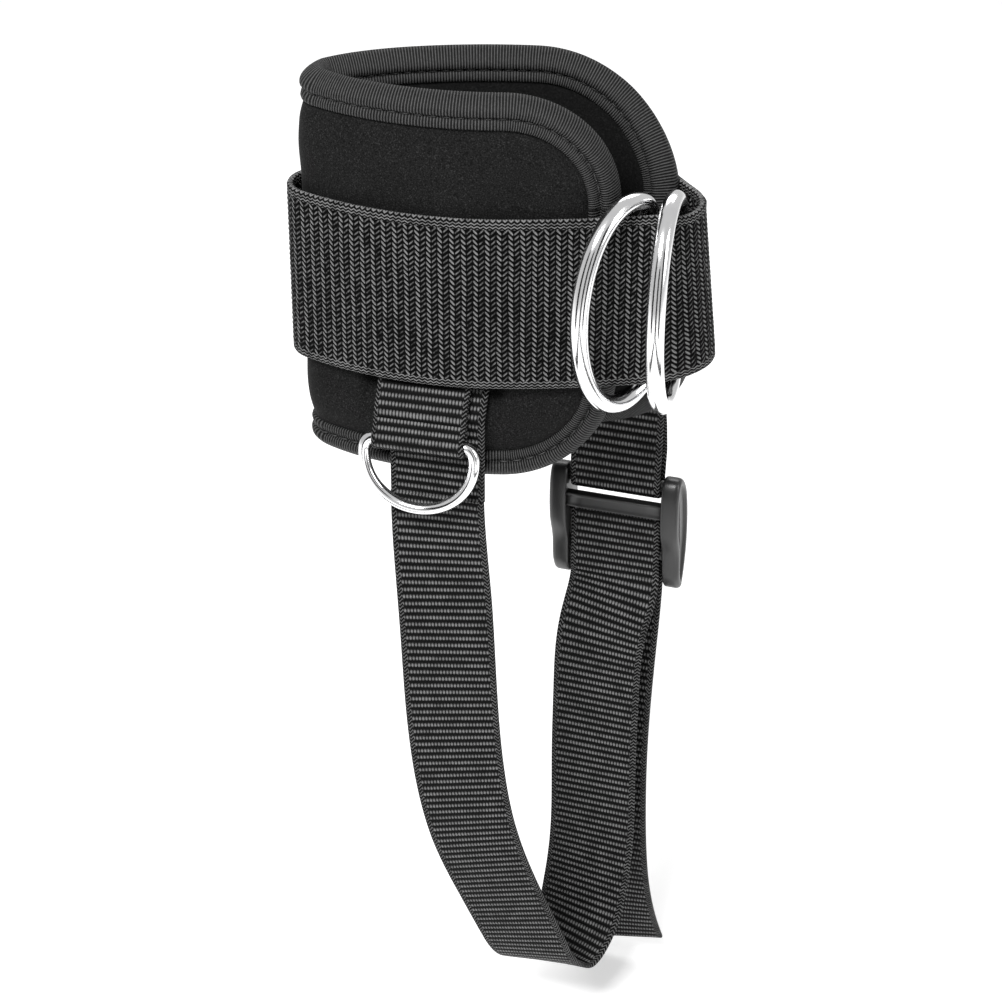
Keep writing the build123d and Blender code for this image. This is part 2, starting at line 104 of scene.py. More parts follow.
BASE = PAD + GAP + WIDE_WEB / 2
FRONT = PAD + STAND_OFF + WIDE_WEB / 2
TAIL = BASE + WIDE_WEB + 2 * TAPE + 3 * GAP


# ---- curves ----
class Run:
    """A plan curve of tangent arcs; offsets are to the left of travel."""

    def __init__(self, start, heading, arcs):
        x, y = start
        angle, begin = radians(heading), 0.0
        rows = []
        for length, turn in arcs:
            bend = radians(turn) / length
            rows.append((begin, x, y, angle, bend))
            if abs(bend) < 1e-9:
                x, y = x + length * cos(angle), y + length * sin(angle)
            else:
                after = angle + bend * length
                x += (sin(after) - sin(angle)) / bend
                y -= (cos(after) - cos(angle)) / bend
                angle = after
            begin += length
        self.begin, self.x, self.y, self.angle, self.bend = np.array(rows).T
        self.length = begin

    def place(self, travel, offset=0.0):
        """x, y and heading at distances along the run."""
        travel = np.asarray(travel, float)
        k = np.clip(np.searchsorted(self.begin, travel, side="right") - 1, 0, len(self.begin) - 1)
        bend, angle, along = self.bend[k], self.angle[k], travel - self.begin[k]
        flat = np.abs(bend) < 1e-9
        after = angle + bend * along
        safe = np.where(flat, 1.0, bend)
        x = self.x[k] + np.where(flat, along * np.cos(angle), (np.sin(after) - np.sin(angle)) / safe)
        y = self.y[k] - np.where(flat, -along * np.sin(angle), (np.cos(after) - np.cos(angle)) / safe)
        return x - offset * np.sin(after), y + offset * np.cos(after), after

    def travel_at_x(self, x, first, last):
        travel = np.linspace(first, last, 4001)
        reached = self.place(travel)[0]
        order = np.argsort(reached)
        return np.interp(x, reached[order], travel[order])


def arcs_at(arcs, offset):
    return [(length - offset * radians(turn), turn) for length, turn in arcs]


pad_run = Run(PAD_START, PAD_HEADING, PAD_ARCS)
FOLD_MIDDLE = sum(a[0] for a in PAD_ARCS[:FOLD_ARC]) + PAD_ARCS[FOLD_ARC][0] / 2
TAB_TRAVEL = float(pad_run.travel_at_x(-19.0, 20, 80))


def back_travel(x):
    return float(pad_run.travel_at_x(x, pad_run.length * 0.55, pad_run.length))


def rounded_path(points, radii, step):
    """Dense points along straight runs whose corners are arcs of the given radii."""
    points = [np.array(p, float) for p in points]
    path = [points[0]]
    for before, corner, after, radius in zip(points, points[1:], points[2:], radii):
        inward, outward = corner - before, after - corner
        inward, outward = inward / np.linalg.norm(inward), outward / np.linalg.norm(outward)
        turn = np.arccos(np.clip(inward @ outward, -1, 1))
        reach = radius * tan(turn / 2)
        side = np.sign(inward[0] * outward[1] - inward[1] * outward[0])
        normal = side * np.array([-inward[1], inward[0]])
        start = corner - inward * reach
        centre = start + normal * radius
        count = max(3, int(np.ceil(radius * turn / step)))
        for a in np.linspace(0, turn, count + 1):
            path.append(centre - normal * radius * cos(a) + inward * radius * sin(a))
    path.append(points[-1])
    return resample(np.array(path), step)


def lengths_along(line):
    """Distance of each point from the line's start."""
    return np.concatenate([[0], np.cumsum(np.linalg.norm(np.diff(line, axis=0), axis=1))])


def columns(*values):
    """Points or directions out of their coordinates."""
    return np.stack(np.broadcast_arrays(*values), axis=-1)


def points_at(at, lengths, line):
    """Points at distances along a line."""
    return columns(*(np.interp(at, lengths, values) for values in line.T))


def resample(path, step):
    """The same line with evenly spaced points."""
    lengths = lengths_along(path)
    keep = np.concatenate([[True], np.diff(lengths) > 1e-6])
    lengths, path = lengths[keep], path[keep]
    count = max(2, int(round(lengths[-1] / step)) + 1)
    return points_at(np.linspace(0, lengths[-1], count), lengths, path)


def unit(vectors):
    return vectors / np.linalg.norm(vectors, axis=-1, keepdims=True)


def ease(share):
    """From 0 to 1 with soft ends."""
    share = np.clip(share, 0, 1)
    return share * share * (3 - 2 * share)


# ---- meshes ----
def mesh_piece(name, verts, faces, uv, sharp_rim=()):
    """A mesh from points in millimetres, with one UV pair per point, also in millimetres, and sharp
    edges between the rim's points."""
    mesh = bpy.data.meshes.new(name)
    mesh.from_pydata((verts.reshape(-1, 3) * MM).tolist(), [], faces)
    mesh.update()
    mesh.shade_smooth()
    layer = mesh.uv_layers.new(name="flat")
    corners = np.empty(len(mesh.loops), np.int32)
    mesh.loops.foreach_get("vertex_index", corners)
    layer.data.foreach_set("uv", uv.reshape(-1, 2)[corners].astype(np.float32).ravel())
    rim = set(sharp_rim)
    if rim:
        for edge in mesh.edges:
            edge.use_edge_sharp = rim.issuperset(edge.vertices)
    piece = bpy.data.objects.new(name, mesh)
    bpy.context.collection.objects.link(piece)
    return piece


def tube_faces(rows, around, closed_rows=False):
    """Quads between successive closed loops of points, with the ends capped unless the rows close."""
    faces = []
    for i in range(rows if closed_rows else rows - 1):
        a, b = i * around, (i + 1) % rows * around
        for j in range(around):
            k = (j + 1) % around
            faces.append((a + j, a + k, b + k, b + j))
    if not closed_rows:
        faces.append(tuple(range(around - 1, -1, -1)))
        faces.append(tuple((rows - 1) * around + j for j in range(around)))
    return faces


def finish_piece(piece, material, body=None, nodes=()):
    piece.data.materials.append(material)
    if body:
        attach(piece, body)
    if nodes:
        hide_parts(*nodes)
    return piece


def band(name, centres, across, normals, width, thickness, u_start=0.0, relief=None, step=1.0):
    """A woven strap: a closed flat tube along centres, with rounded selvedges and a woven relief.
    relief(u, v) is how far the face stands out, in millimetres, u along and v across."""
    across = np.broadcast_to(across, centres.shape)
    half = thickness / 2
    edge = width / 2 - half * 0.8
    count = int(round(2 * edge / step)) + 1
    v = np.linspace(-edge, edge, count)
    bow = np.linspace(0, 180, 5)[1:-1]
    right_v = edge + half * 0.8 * np.sin(np.radians(bow))
    right_n = half * np.cos(np.radians(bow))
    section_v = np.concatenate([v, right_v, v[::-1], -right_v])
    section_n = np.concatenate([np.full(count, half), right_n, np.full(count, -half), -right_n])
    face = np.concatenate([np.ones(count), np.zeros(3), -np.ones(count), np.zeros(3)])
    u, v, stand = np.broadcast_arrays((lengths_along(centres) + u_start)[:, None], section_v, section_n)
    if relief:
        stand = stand + face * relief(u, v)
    verts = centres[:, None] + across[:, None] * v[..., None] + normals[:, None] * stand[..., None]
    rows, around = v.shape
    rim = list(range(around)) + [(rows - 1) * around + j for j in range(around)]
    return mesh_piece(name, verts, tube_faces(rows, around), columns(u, v), rim)


def rod(points, radius, around, closed=False, up=UP):
    """Vertices, faces and UVs of a round wire along points; up is never along the wire."""
    points = np.asarray(points, float)
    if closed:
        along = unit(np.roll(points, -1, axis=0) - np.roll(points, 1, axis=0))
    else:
        along = unit(np.gradient(points, axis=0))
    side = unit(np.cross(along, up))
    other = np.cross(side, along)
    angle = np.linspace(0, 2 * np.pi, around, endpoint=False)
    verts = points[:, None] + radius * (side[:, None] * np.cos(angle)[:, None]
                                        + other[:, None] * np.sin(angle)[:, None])
    uv = columns(lengths_along(points)[:, None], angle * radius)
    return verts.reshape(-1, 3), tube_faces(len(points), around, closed), uv.reshape(-1, 2)


def join_meshes(parts):
    """One set of vertices, faces and UVs out of several."""
    verts, faces, uvs, base = [], [], [], 0
    for part_verts, part_faces, part_uv in parts:
        verts.append(part_verts)
        uvs.append(part_uv)
        faces += [tuple(base + i for i in f) for f in part_faces]
        base += len(part_verts)
    return np.concatenate(verts), faces, np.concatenate(uvs)


# ---- materials ----
RIB_PITCH = 0.8           # edge tape
COLUMN = 1.55             # wide webbing: columns of slanting yarns
YARN = 1.5
COLUMN_SLOPE = 1.0
SELVEDGE = 2.6
CROSS_RIB = 2.35          # narrow webbing: ribs of short yarns
DASH = 0.95
NARROW_SELVEDGE = 1.7


class Value:
    """A number in a node tree, with plain arithmetic."""

    def __init__(self, nodes, socket):
        self.nodes, self.socket = nodes, socket

    def __add__(self, other):
        return self.nodes.math("ADD", self, other)

    def __sub__(self, other):
        return self.nodes.math("SUBTRACT", self, other)

    def __mul__(self, other):
        return self.nodes.math("MULTIPLY", self, other)

    def __truediv__(self, other):
        return self.nodes.math("DIVIDE", self, other)

    def __pow__(self, other):
        return self.nodes.math("POWER", self, other)

    def __abs__(self):
        return self.nodes.math("ABSOLUTE", self)


class Nodes:
    """A new material's or world's node tree, with short ways to add to it."""

    def __init__(self, name, kind=bpy.data.materials, shader="Principled BSDF"):
        self.owner = kind.new(name)
        self.owner.use_nodes = True
        self.tree = self.owner.node_tree
        self.shader = self.tree.nodes[shader]

    def add(self, kind, **settings):
        node = self.tree.nodes.new(kind)
        for key, value in settings.items():
            setattr(node, key, value)
        return node

    def feed(self, socket, value):
        """Set a socket to a number or a colour, or link a value to it."""
        if isinstance(value, (int, float)):
            socket.default_value = value
        elif isinstance(value, tuple):
            socket.default_value = (*value, 1)
        else:
            self.tree.links.new(value.socket, socket)

    def math(self, operation, *values):
        node = self.add("ShaderNodeMath", operation=operation)
        for socket, value in zip(node.inputs, values):
            self.feed(socket, value)
        return Value(self, node.outputs[0])

    def wave(self, turns, half=0.5, middle=0.5):
        """A cosine wave of period 1."""
        return self.math("COSINE", turns * (2 * np.pi)) * half + middle

    def zigzag(self, turns):
        """A triangle wave of period 1 between 0 and 1."""
        return self.math("PINGPONG", turns * 2.0, 1.0)

    def choose(self, switch, first, second):
        node = self.add("ShaderNodeMix")
        for k, value in ((0, switch), (2, first), (3, second)):
            self.feed(node.inputs[k], value)
        return Value(self, node.outputs[0])

    def flat(self):
        """u and v of the piece's own surface, in millimetres."""
        split = self.add("ShaderNodeSeparateXYZ")
        self.feed(split.inputs[0], Value(self, self.add("ShaderNodeUVMap", uv_map="flat").outputs["UV"]))
        return Value(self, split.outputs[0]), Value(self, split.outputs[1])

    def texture(self, kind, output, **settings):
        node = self.add(kind)
        for key, value in settings.items():
            node.inputs[key].default_value = value
        place = self.add("ShaderNodeTexCoord").outputs["Object"]
        self.feed(node.inputs["Vector"], Value(self, place))
        return Value(self, node.outputs[output])

    def noise(self, scale, detail):
        return self.texture("ShaderNodeTexNoise", "Fac", Scale=scale, Detail=detail, Roughness=0.5)

    def ramp(self, value, *stops):
        """Colour along a ramp; each stop is a place and a grey or a colour."""
        node = self.add("ShaderNodeValToRGB")
        elements = node.color_ramp.elements
        while len(elements) < len(stops):
            elements.new(0.5)
        for element, (at, tone) in zip(elements, stops):
            element.position = at
            element.color = (*(tone if isinstance(tone, tuple) else (tone,) * 3), 1)
        self.feed(node.inputs[0], value)
        return Value(self, node.outputs[0])

    def spread(self, value, low, high):
        """Value from 0..1 to low..high."""
        node = self.add("ShaderNodeMapRange")
        for key, number in (("To Min", low), ("To Max", high), ("Value", value)):
            self.feed(node.inputs[key], number)
        return Value(self, node.outputs[0])

    def bump(self, height, distance, strength):
        node = self.add("ShaderNodeBump")
        for key, value in (("Distance", distance), ("Strength", strength), ("Height", height)):
            self.feed(node.inputs[key], value)
        return Value(self, node.outputs[0])

    def finish(self, colour, roughness, normal=None, **fixed):
        self.feed(self.shader.inputs["Base Color"], colour)
        self.feed(self.shader.inputs["Roughness"], roughness)
        if normal is not None:
            self.feed(self.shader.inputs["Normal"], normal)
        for socket, value in fixed.items():
            self.shader.inputs[socket.replace("_", " ")].default_value = value
        return self.owner


def jersey(name, dark, light, grain):
    """Fine matte knitted cover, speckled."""
    n = Nodes(name)
    cloud = n.noise(90, 3.0)
    mixed = n.noise(grain, 1.0) * 0.9 + cloud * 0.1
    colour = n.ramp(mixed, (0.3, dark), (0.6, dark + light * 0.3), (0.74, light))
    return n.finish(colour, n.spread(cloud, 0.72, 0.86), n.bump(mixed, 0.00016, 0.5), Sheen_Weight=0.02,
                    Sheen_Roughness=0.5, Specular_IOR_Level=0.06)


def ribbed_tape(name):
    """Edge tape: fine ribs across its length, u along the edge; the colour follows the ribs, painting shade
    in their troughs and highlights on their crests.
    """
    n = Nodes(name)
    rib = n.wave(n.flat()[0] / RIB_PITCH - 0.25)
    fuzz = n.noise(1500, 1.0)
    height = rib * 0.7 + fuzz * 0.3
    # painted shade in the rib troughs and painted highlights on the rib crests
    colour = n.ramp(height, (0.15, 0.0012), (0.5, 0.009), (0.95, 0.085))
    return n.finish(colour, n.spread(fuzz, 0.5, 0.68), n.bump(height, 0.0003, 0.9), Specular_IOR_Level=0.15)


def herringbone(name):
    """Wide webbing: columns of slanting yarns, each column slanting the other way; the colour follows the
    yarn height, painting shade between the yarns and highlights on their crowns.
    """
    n = Nodes(name)
    u, v = n.flat()
    column = (u + (n.noise(160, 1.0) - 0.5) * 0.5) / (COLUMN * 2)
    crown = n.wave(v / YARN + n.zigzag(column) * COLUMN_SLOPE)
    swing = n.math("SINE", column * (2 * np.pi))
    # columns of one slant stand higher, so they get brighter painted highlights, as where the light catches
    # that slant
    weave = crown ** 0.8 * abs(swing) ** 0.45 * (swing * 0.24 + 0.76)
    selvedge = n.wave((v + n.zigzag(u / 1.6) * 0.5) / 0.9, 0.3, 0.4)
    height = n.choose(n.math("GREATER_THAN", abs(v), WIDE / 2 - SELVEDGE), weave, selvedge)
    # random patches, stronger and weaker, in the relief and in its painted highlights
    patch = n.noise(700, 1.0) * (n.noise(60, 2.0) + 0.55)
    height = height * (patch * 1.1 + 0.45)
    tone = height * 0.85 + n.noise(2600, 1.0) * 0.15
    # painted shade between the yarns and painted highlights on their crowns
    colour = n.ramp(tone, (0.2, 0.0003), (0.38, 0.008), (0.7, 0.2))
    return n.finish(colour, n.spread(height, 0.8, 0.42), n.bump(tone, 0.0007, 1.0), Specular_IOR_Level=0.06)


def plain_webbing(name):
    """Narrow webbing: ribs across, each a row of short yarns; the colour follows their height, painting
    highlights on the yarns' crowns and shade between them.
    """
    n = Nodes(name)
    u, v = n.flat()
    row = n.math("ROUND", u / CROSS_RIB) * 0.5
    dash = abs(n.math("SINE", (v / DASH + row) * np.pi)) ** 0.5
    weave = n.wave(u / CROSS_RIB) ** 0.8 * dash
    selvedge = n.wave(u / 1.2 + n.zigzag(v / 1.6) * 0.8, 0.4, 0.4)
    height = n.choose(n.math("GREATER_THAN", abs(v), NARROW / 2 - NARROW_SELVEDGE), weave, selvedge)
    tone = height * (n.noise(260, 2.0) * 0.8 + 0.55) * 0.85 + n.noise(1900, 1.0) * 0.12
    # painted shade between the yarns and painted highlights on their crowns
    colour = n.ramp(tone, (0.16, 0.0008), (0.4, 0.009), (0.85, 0.17))
    return n.finish(colour, n.spread(height, 0.75, 0.4), n.bump(tone, 0.0006, 1.0), Specular_IOR_Level=0.1)


def thread(name):
    n = Nodes(name)
    twist = n.noise(3000, 1.0)
    return n.finish(n.ramp(twist, (0.3, 0.004), (0.7, 0.02)), n.spread(twist, 0.45, 0.65),
                    n.bump(twist, 0.0001, 0.5), Specular_IOR_Level=0.5)


def chrome(name):
    n = Nodes(name)
    haze, scuff = n.noise(140, 3.0), n.noise(1200, 2.0)
    colour = n.ramp(haze, (0.3, (0.83, 0.83, 0.84)), (0.7, 0.93))
    rough = n.spread(haze, 0.09, 0.15) + scuff * 0.03
    return n.finish(colour, rough, n.bump(scuff, 0.00002, 0.25), Metallic=1.0)


def moulded(name):
    n = Nodes(name)
    grain = n.noise(2200, 2.0)
    colour = n.ramp(n.noise(120, 2.0), (0.3, 0.011), (0.7, 0.019))
    return n.finish(colour, n.spread(grain, 0.3, 0.42), n.bump(grain, 0.00003, 0.35), Specular_IOR_Level=0.5)


def pile(name, scale, bright):
    """Hook or loop tape."""
    n = Nodes(name)
    loops = n.texture("ShaderNodeTexVoronoi", "Distance", Scale=scale)
    colour = n.ramp(loops, (0.1, bright), (0.6, 0.003))
    return n.finish(colour, 0.8, n.bump(loops, -0.0005, 0.9), Specular_IOR_Level=0.3)


COVER = jersey("neoprene_cover", 0.002, 0.030, 2600)
LINING = jersey("lining", 0.003, 0.012, 1900)
BINDING = ribbed_tape("binding")
HERRINGBONE = herringbone("wide_webbing")
WEBBING = plain_webbing("narrow_webbing")
THREAD = thread("thread")
CHROME = chrome("ring_metal")
PLASTIC = moulded("buckle_plastic")
HOOK = pile("hook_tape", 1100, 0.02)
LOOP = pile("loop_tape", 900, 0.03)


# ---- pad ----
EDGE_PULL = 1.6           # how far the edges pull in at the fold
FLANGE_END = 8.0          # the tape's inner edge, from the pad's edge
FLANGE_START = 5.2
PAD_RIM = 6.6             # the cover and lining end under the tape here
SEAM = 4.8                # the stitched groove
GROOVE = PAD - 0.45       # and its floor, from the middle surface
PUCKER_PITCH = 3.6        # of the sewn tape
ROLL_CREST = 0.45         # where the rolled tape is thickest, as a share of the way round
FOLD_SPREAD = 10.0
EDGE_STEP = 0.62
GRID_STEP = 0.9
GRID_ROWS = 110
GRID_CROWDING = 0.2 / np.pi     # closer columns at the ends


def pad_point(travel, height, offset):
    """Surface point of the pad; the edges pull in a little where it folds."""
    x, y, _ = pad_run.place(travel, offset)
    near = np.exp(-((travel - FOLD_MIDDLE) / FOLD_SPREAD) ** 2)
    pull = EDGE_PULL * near * np.clip(np.abs(height) / PAD_TOP, 0, 1.1) ** 4
    return columns(x + pull, y, height)


def corner_arc(end, edge, radius):
    """A rounded corner in XZ, from the horizontal edge to the upright end."""
    sign = 1 if edge > 0 else -1
    angle = np.radians(np.linspace(90, 0, 40))
    return end - radius + radius * np.cos(angle), sign * (abs(edge) - radius + radius * np.sin(angle))


def pad_edge_loop():
    """The pad's edge as a closed line of (travel, height), evenly spaced."""
    table = np.linspace(0, pad_run.length + 6, 6001)
    x = pad_run.place(table)[0]
    front, back = table < FOLD_MIDDLE, table > FOLD_MIDDLE
    corners = []
    for side, end, edge, radius in (
            (front, FRONT_END, PAD_TOP, FRONT_CORNER), (back, BACK_END_TOP, PAD_TOP, BACK_CORNER_TOP),
            (back, BACK_END_LOW, PAD_BOTTOM, BACK_CORNER_LOW), (front, FRONT_END, PAD_BOTTOM, FRONT_CORNER)):
        xs, zs = corner_arc(end, edge, radius)
        order = np.argsort(x[side])
        travel = np.interp(xs, x[side][order], table[side][order])
        corners.append(columns(travel, zs))
    path = np.concatenate([corners[0][::-1], corners[1], corners[2][::-1], corners[3], corners[0][-1:]])
    return resample(path, EDGE_STEP)[:-1]


edge_loop = pad_edge_loop()
edge_along = unit(np.roll(edge_loop, -2, axis=0) - np.roll(edge_loop, 2, axis=0))
edge_inward = columns(edge_along[:, 1], -edge_along[:, 0])


def inset(distance):
    return edge_loop + edge_inward * distance


def dent(travel, height):
    """How far the pad's face lies below the sewn webbing ends, out from the middle surface."""
    across = np.abs(travel - (TAB_TRAVEL - 2))
    depth = np.interp(height, [-37, -34.9, -26.9, -9, -5], [0, 0.2, 4.4, 4.4, 0])
    return depth * (1 - ease((across - 16.5) / 4.0))


def cover_offset(travel, height, inward):
    """Outer face of the pad: crowned between the seams, swollen above and below the strap."""
    rise = np.clip((inward - PAD_RIM) / 7.0, 0, 1)
    offset = PAD - 1.0 + 1.2 * np.sin(rise * np.pi / 2)
    offset = offset + 0.75 * np.exp(-((np.abs(height) - 36) / 8) ** 2) * rise
    ripple = np.sin(travel * 0.21 + height * 0.05) * np.sin(height * 0.13 + 1.0)
    offset = offset + 0.22 * ripple * rise
    return offset - dent(travel, height) * (0.3 + 0.7 * rise)


def pad_grid(offset_of):
    """Points of the pad's face inside its rim, as columns from the bottom edge to the top edge."""
    rim = inset(PAD_RIM)
    upper, lower = rim[rim[:, 1] > 0], rim[rim[:, 1] <= 0]
    first, last = rim[:, 0].min(), rim[:, 0].max()
    mix = np.linspace(0, 1, int((last - first) / GRID_STEP))
    travel = first + (last - first) * (mix - GRID_CROWDING * np.sin(2 * np.pi * mix))
    order = np.argsort(upper[:, 0])
    high = np.interp(travel, upper[order, 0], upper[order, 1])
    order = np.argsort(lower[:, 0])
    low = np.interp(travel, lower[order, 0], lower[order, 1])
    share = np.linspace(0, 1, GRID_ROWS)
    height = low[:, None] + (high - low)[:, None] * share
    travel = travel[:, None] + 0 * height
    ends = np.minimum(travel - first, last - travel)
    inward = PAD_RIM + np.minimum(np.minimum(high[:, None] - height, height - low[:, None]), ends)
    return travel, height, offset_of(travel, height, inward)


def slab(name, front, back):
    """A closed piece between two grids of the same shape."""
    (travel, height, near), (_, _, far) = front, back
    across, rows = travel.shape
    verts = np.concatenate([pad_point(travel, height, near).reshape(-1, 3),
                            pad_point(travel, height, far).reshape(-1, 3)])
    uv = np.tile(columns(travel, height).reshape(-1, 2), (2, 1))
    total = travel.size
    faces = []
    for i in range(across - 1):
        for j in range(rows - 1):
            a = i * rows + j
            faces.append((a, a + rows, a + rows + 1, a + 1))
            faces.append((total + a, total + a + 1, total + a + rows + 1, total + a + rows))
    rim = [(i, 0) for i in range(across)] + [(across - 1, j) for j in range(1, rows)]
    rim += [(i, rows - 1) for i in range(across - 2, -1, -1)] + [(0, j) for j in range(rows - 2, 0, -1)]
    index = [i * rows + j for i, j in rim]
    for a, b in zip(index, index[1:] + index[:1]):
        faces.append((a, total + a, total + b, b))
    return mesh_piece(name, verts, faces, uv, index + [total + i for i in index])


def make_pad():
    def lining_offset(travel, height, inward):
        rise = np.clip((inward - PAD_RIM) / 6.0, 0, 1)
        return -(PAD - 0.6 + 0.6 * np.sin(rise * np.pi / 2))

    middle = pad_grid(lambda t, h, i: 0 * t - 0.95)
    cover = slab("pad_cover", pad_grid(cover_offset), middle)
    finish_piece(cover, COVER, "cuff", ["pad_outer_fabric", "pad_foam"])
    middle = pad_grid(lambda t, h, i: 0 * t - 1.05)
    lining = slab("pad_lining_face", middle, pad_grid(lining_offset))
    finish_piece(lining, LINING, "cuff", ["pad_lining"])


def binding_section():
    """Half of the edge tape's section as (inward from the pad's edge, offset), flange first."""
    flange = [(FLANGE_END - 0.1, PAD - 1.1), (FLANGE_END, PAD - 0.2), (FLANGE_END - 0.25, PAD + 0.3),
              (FLANGE_END - 0.9, PAD + 0.55), (FLANGE_START + 1.0, PAD + 0.45), (SEAM + 0.5, PAD - 0.1),
              (SEAM + 0.1, GROOVE)]
    roll = []
    for t in np.linspace(0, 1, 15):
        inward = SEAM - 0.25 - (SEAM - 0.25 + BINDING_LIP) * (1 - cos(t * np.pi / 2))
        if t > ROLL_CREST:
            offset = BINDING_HALF * cos((t - ROLL_CREST) / (1 - ROLL_CREST) * np.pi / 2) ** 0.75
        else:
            offset = GROOVE + (BINDING_HALF - GROOVE) * sin(t / ROLL_CREST * np.pi / 2)
        roll.append((inward, offset))
    return flange + roll


def make_binding():
    half = np.array(binding_section())
    section = np.concatenate([half, half[-2::-1] * (1, -1)])
    along = lengths_along(edge_loop)[:, None]
    travel, height = np.array([inset(d) for d, _ in section]).transpose(2, 1, 0)
    seam = np.exp(-((section[:, 0] - SEAM) / 1.6) ** 2) * np.sign(section[:, 1])
    offset = section[:, 1] + 0.12 * np.sin(along * 2 * np.pi / PUCKER_PITCH) * seam
    offset = offset - dent(travel, height) * (offset > 0) * 0.6
    piece = mesh_piece("edge_tape", pad_point(travel, height, offset), tube_faces(*travel.shape, True),
                       columns(along, lengths_along(section)))
    finish_piece(piece, BINDING, "cuff", ["edge_binding"])


STITCH_PITCH = 3.5
STITCH_LENGTH = 2.5
THREAD_RADIUS = 0.3


def stitch_row(inward, offset, keep):
    """Short raised threads along a line inside the pad's edge."""
    line = inset(inward)
    along = lengths_along(line)
    stitches = []
    at = STITCH_PITCH
    while at < along[-1] - STITCH_PITCH:
        t = np.linspace(at, at + STITCH_LENGTH, 6)
        travel, height = points_at(t, along, line).T
        if keep(travel[2], height[2]):
            arch = np.array([-0.35, 0.05, 0.16, 0.16, 0.05, -0.35]) * np.sign(offset)
            points = pad_point(travel, height, offset + arch)
            outward = pad_point(travel, height, offset + 1) - pad_point(travel, height, offset)
            stitches.append(rod(points, THREAD_RADIUS, 7, up=outward[2]))
        at += STITCH_PITCH
    return stitches


def make_binding_stitches():
    def outside(travel, height):
        covered = min(abs(travel - TAB_TRAVEL + 2), abs(travel - back_travel(LOOP_X))) < 16
        return not (height < 0 and covered)

    def inside(travel, height):
        return abs(travel - FOLD_MIDDLE) > 12

    for name, offset, keep in (("outer", PAD - 0.3, outside), ("inner", 0.3 - PAD, inside)):
        piece = mesh_piece(f"tape_stitches_{name}", *join_meshes(stitch_row(SEAM, offset, keep)))
        finish_piece(piece, THREAD, "cuff", [f"binding_stitches_{name}"])


make_pad()
make_binding()
make_binding_stitches()


# ---- wide strap ----
BASE_END_X = 20.0
TAIL_END_X = -26.0
TAPE_WIDTH = WIDE - 4
WEAVE_STEP = 0.34         # sampling of the woven relief
WEAVE_HEIGHT = 0.22
SLACK_START = 41.0        # the strap leans over where it turns back round the pad's end
SLACK_SPAN = 15.0


def wrap_run():
    """From the front's right end round the back panel's end and back along the rear."""
    x, y, heading = (float(v) for v in pad_run.place(0, FRONT))
    end_x, end_y, end_heading = (float(v) for v in pad_run.place(pad_run.length))
    ahead = np.array([-cos(heading), -sin(heading)])
    inwards = np.array([sin(heading), -cos(heading)])
    out = np.array([-sin(end_heading), cos(end_heading)])
    reach = np.array([end_x - x, end_y - y])
    back_off = (reach @ inwards - TAIL) / (1 + out @ inwards)
    radius = TAIL + back_off
    straight = (reach - out * back_off) @ ahead
    turn = 180 + degrees(end_heading) - (PAD_HEADING - 180)
    rear = [(length, -turned) for length, turned in reversed(arcs_at(PAD_ARCS[FOLD_ARC + 1:], TAIL))]
    return Run((x, y), PAD_HEADING - 180, [(straight, 0), (radius * radians(turn), turn)] + rear)


def strap_front_run():
    """The strap's first layer: standing off the front, round the left turn, close along the rear."""
    front = arcs_at(PAD_ARCS[:FOLD_ARC], FRONT)
    fold_length, turn = arcs_at([PAD_ARCS[FOLD_ARC]], FRONT)[0]
    spare = LEFT_BULGE * tan(radians(-turn) / 2)
    step = (FRONT - BASE) / sin(radians(-turn))
    tight = fold_length - LEFT_BULGE * radians(-turn)
    back = arcs_at(PAD_ARCS[FOLD_ARC + 1:], BASE)
    arcs = front + [(spare - step, 0), (tight, turn), (spare + step * cos(radians(turn)), 0)] + back
    start = [float(v) for v in pad_run.place(0, FRONT)[:2]]
    return Run(start, PAD_HEADING, arcs)


def woven_relief(u, v):
    """Slanting yarns in columns; flat and fine on the selvedges."""
    column = u / (2 * COLUMN)
    slant = 1 - np.abs((column % 1) * 2 - 1)
    crown = 0.5 + 0.5 * np.cos(2 * np.pi * (v / YARN + slant * COLUMN_SLOPE))
    ridge = np.abs(np.sin(2 * np.pi * column)) ** 0.6
    inner = np.abs(v) < WIDE / 2 - SELVEDGE
    return np.where(inner, WEAVE_HEIGHT * (crown * ridge - 0.5), 0.0)


def make_wide_strap():
    strap, wrap = strap_front_run(), wrap_run()
    base_end = strap.travel_at_x(BASE_END_X, strap.length * 0.55, strap.length)
    tail_end = wrap.travel_at_x(TAIL_END_X, wrap.length * 0.5, wrap.length)
    x, y, heading = strap.place(np.linspace(base_end, 0, 700))
    start = columns(x, y, -np.sin(heading), np.cos(heading))
    x, y, heading = wrap.place(np.linspace(0, tail_end, 480)[1:])
    rest = columns(x, y, np.sin(heading), -np.cos(heading))
    line = np.concatenate([start, rest])
    travelled = lengths_along(line[:, :2])
    x, y, nx, ny = points_at(np.arange(0, travelled[-1], WEAVE_STEP), travelled, line).T
    slack = ease((x - SLACK_START) / SLACK_SPAN)
    centres = columns(x - 1.5 * slack, y, 0)
    across = unit(columns(-0.1 * slack, -0.12 * slack, 1))
    normals = columns(nx, ny, 0)
    normals = unit(normals - across * np.sum(normals * across, axis=1, keepdims=True))
    piece = band("wide_webbing_strap", centres, across, normals, WIDE, WIDE_WEB, 0.0, woven_relief, 0.36)
    finish_piece(piece, HERRINGBONE, "cuff", ["wide_strap"])


def make_tapes():
    first, last = back_travel(-22.0), back_travel(17.0)
    start = BASE + WIDE_WEB / 2 + GAP + TAPE / 2
    for name, offset, material in (("loop", start, LOOP), ("hook", start + TAPE + GAP, HOOK)):
        travel = np.linspace(first, last, 90)
        x, y, heading = pad_run.place(travel, offset)
        normals = columns(-np.sin(heading), np.cos(heading), 0)
        piece = band(f"{name}_side_tape", columns(x, y, 0), UP, normals, TAPE_WIDTH, TAPE)
        finish_piece(piece, material, "cuff", [f"strap_{name}_tape"])


